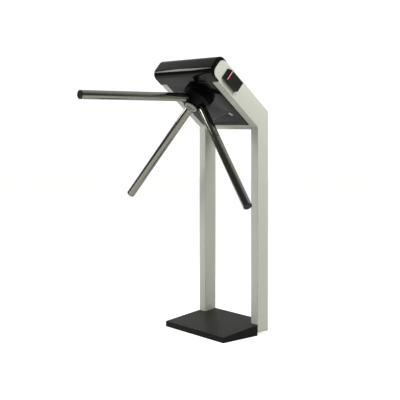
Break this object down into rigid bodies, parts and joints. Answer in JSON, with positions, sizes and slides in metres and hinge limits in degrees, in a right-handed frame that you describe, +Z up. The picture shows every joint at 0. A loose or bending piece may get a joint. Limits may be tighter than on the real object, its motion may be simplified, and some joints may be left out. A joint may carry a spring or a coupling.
{
  "type": "tripod turnstile",
  "caption": "Tripod turnstile on a floor base: a sloping head between bent side frames carries a turning rotor with horizontal and angled arms, and side readers.",
  "frame": {"origin": "on the floor at the middle of the base, which is also the centre of the four anchor holes", "axes": "+Z up; X along the walking direction through the passage; -Y from the stand into the passage, where the level arm points"},
  "size_m": [0.715, 0.7335, 1.0413],
  "materials": {
    "silver_paint": "fine-textured silver powder coat",
    "black_paint": "smooth gloss black paint",
    "black_casting": "satin black coat on cast aluminium",
    "bright_tube": "polished stainless tube",
    "cap_metal": "turned and satin",
    "black_plastic": "fine matt moulded",
    "red_lens": "clear tinted, lit from behind",
    "dark_steel": "oiled dark steel",
    "zinc_steel": "zinc plated",
    "ground_steel": "ground and hardened",
    "nickel": "bright nickel plate",
    "dark_housing": "moulded",
    "brass": "machined",
    "green_board": "solder mask over glass laminate"
  },
  "bodies": {
    "stand": {"left_frame": "silver_paint", "right_frame": "silver_paint", "floor_plate": "dark_steel", "leg_spigots": "zinc_steel", "spigot_bolts": "dark_steel", "base_cover": "black_paint", "base_cover_screws": "dark_steel", "cable_gland": "black_plastic", "crossbar": "silver_paint", "front_cover": "black_paint", "back_cover": "black_paint", "back_cover_screws": "dark_steel", "chassis_plate": "zinc_steel", "chassis_brackets": "zinc_steel", "chassis_screws": "dark_steel", "drum_housing": "black_casting", "drum_screws": "dark_steel", "bearing_outer_rings": "ground_steel", "gearmotor": "dark_housing", "motor_screws": "dark_steel", "pawl_pins": "ground_steel", "pawl_springs": "zinc_steel", "solenoids": "dark_housing", "solenoid_brackets": "zinc_steel", "position_sensor": "black_plastic", "control_board": "green_board", "board_standoffs": "brass", "terminal_block": "green_board", "power_supply": "zinc_steel", "lock_barrel": "nickel", "lock_nut": "nickel", "left_reader": "black_plastic", "right_reader": "black_plastic", "left_light": "red_lens", "right_light": "red_lens"},
    "rotor": {"rotor_shaft": "ground_steel", "rotor_hub": "black_casting", "hub_bolt": "zinc_steel", "hub_cap": "cap_metal", "arm_front": "bright_tube", "arm_left": "bright_tube", "arm_right": "bright_tube", "arm_set_screws": "dark_steel", "arm_end_caps": "black_plastic", "rotor_gear": "zinc_steel", "locking_disc": "zinc_steel", "code_disc": "dark_housing", "shaft_nut": "dark_steel", "bearing_inner_rings": "ground_steel", "bearing_balls": "ground_steel"},
    "pinion": {"motor_pinion": "brass"},
    "left_pawl": {"left_pawl": "zinc_steel"},
    "right_pawl": {"right_pawl": "zinc_steel"},
    "left_plunger": {"left_plunger": "ground_steel"},
    "right_plunger": {"right_plunger": "ground_steel"},
    "key": {"lock_plug": "nickel", "lock_cam": "nickel"}
  },
  "joints": [
    {"name": "rotor_turn", "type": "hinge", "parent": "stand", "child": "rotor", "pos_m": [0, -0.09503, 0.8978], "axis": [0, -0.6428, -0.766], "continuous": true},
    {"name": "pinion_turn", "type": "hinge", "parent": "stand", "child": "pinion", "pos_m": [0.06561, -0.09191, 0.97299], "axis": [0, -0.6428, -0.766], "continuous": true},
    {"name": "right_pawl_swing", "type": "hinge", "parent": "stand", "child": "right_pawl", "pos_m": [0.07936, -0.03756, 0.93913], "axis": [0, -0.6428, -0.766], "range_deg": [-6.5, 0], "stiffness_Nm_per_rad": 0.2},
    {"name": "left_pawl_swing", "type": "hinge", "parent": "stand", "child": "left_pawl", "pos_m": [-0.07936, -0.03756, 0.93913], "axis": [0, -0.6428, -0.766], "range_deg": [0, 6.5], "stiffness_Nm_per_rad": 0.2},
    {"name": "right_plunger_slide", "type": "slide", "parent": "stand", "child": "right_plunger", "axis": [0.5, 0.6634, -0.5567], "range_m": [-0.0086, 0.0002]},
    {"name": "left_plunger_slide", "type": "slide", "parent": "stand", "child": "left_plunger", "axis": [-0.5, 0.6634, -0.5567], "range_m": [-0.0086, 0.0002]},
    {"name": "key_turn", "type": "hinge", "parent": "stand", "child": "key", "pos_m": [0.09, -0.00267, 0.83674], "axis": [0, -0.6428, -0.766], "range_deg": [0, 90]}
  ],
  "couplings": [
    {"joint": "pinion_turn", "follows": "rotor_turn", "ratio": -3},
    {"joint": "right_plunger_slide", "follows": "right_pawl_swing", "m_per_rad": 0.074},
    {"joint": "left_plunger_slide", "follows": "left_pawl_swing", "m_per_rad": -0.074}
  ]
}
